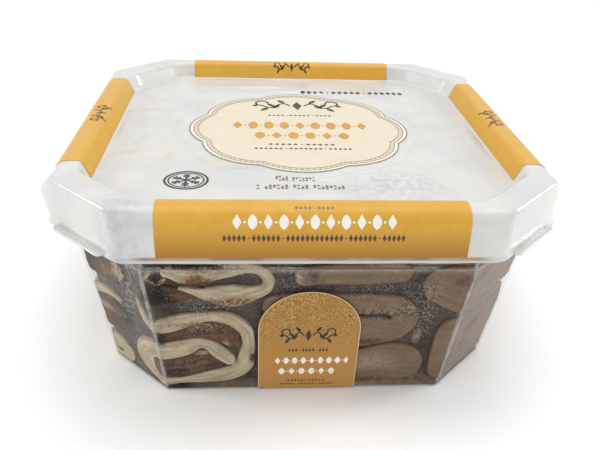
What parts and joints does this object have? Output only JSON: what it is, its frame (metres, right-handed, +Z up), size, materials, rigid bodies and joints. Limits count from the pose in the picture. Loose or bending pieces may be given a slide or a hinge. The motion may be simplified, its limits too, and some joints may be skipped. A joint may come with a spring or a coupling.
{
  "type": "ice cream tub",
  "caption": "Clear eight-sided square tub shut with a milky raised-border lid, orange printed bands, filled with folded ribbons of cream, cocoa and coffee ice cream.",
  "frame": {"origin": "middle of the flat underside, on the surface that the tub stands on", "axes": "+Z up, -Y towards the front with the arched label, +X to the right seen from the front"},
  "size_m": [0.19, 0.19, 0.0882],
  "materials": {
    "clear_plastic": "clear, glossy, frosted in patches on the inside",
    "milky_plastic": "milky translucent, satin gloss",
    "orange_print": "orange-tan print under a gloss",
    "cream_print": "cream print under a gloss",
    "cream_ice": "cream ice cream",
    "cocoa_ice": "cocoa ice cream",
    "coffee_ice": "coffee ice cream"
  },
  "bodies": {
    "root": {"tub": "clear_plastic", "lid": "milky_plastic", "band_front": "orange_print", "band_right": "orange_print", "band_back": "orange_print", "band_left": "orange_print", "plaque": "cream_print", "label_front": "orange_print", "label_back": "orange_print", "cream_fold_top": "cream_ice", "cream_curl": "cream_ice", "cream_fold_low": "cream_ice", "cream_tongue": "cream_ice", "cream_side": "cream_ice", "cream_edge": "cream_ice", "cream_crown": "cream_ice", "cocoa_fold_top": "cocoa_ice", "cocoa_core_mid": "cocoa_ice", "cocoa_core_low": "cocoa_ice", "cocoa_side": "cocoa_ice", "cocoa_edge": "cocoa_ice", "coffee_fold_top": "coffee_ice", "coffee_fold_mid": "coffee_ice", "coffee_fold_low": "coffee_ice", "coffee_side_top": "coffee_ice", "coffee_side_low": "coffee_ice", "coffee_crown": "coffee_ice"}
  },
  "joints": []
}
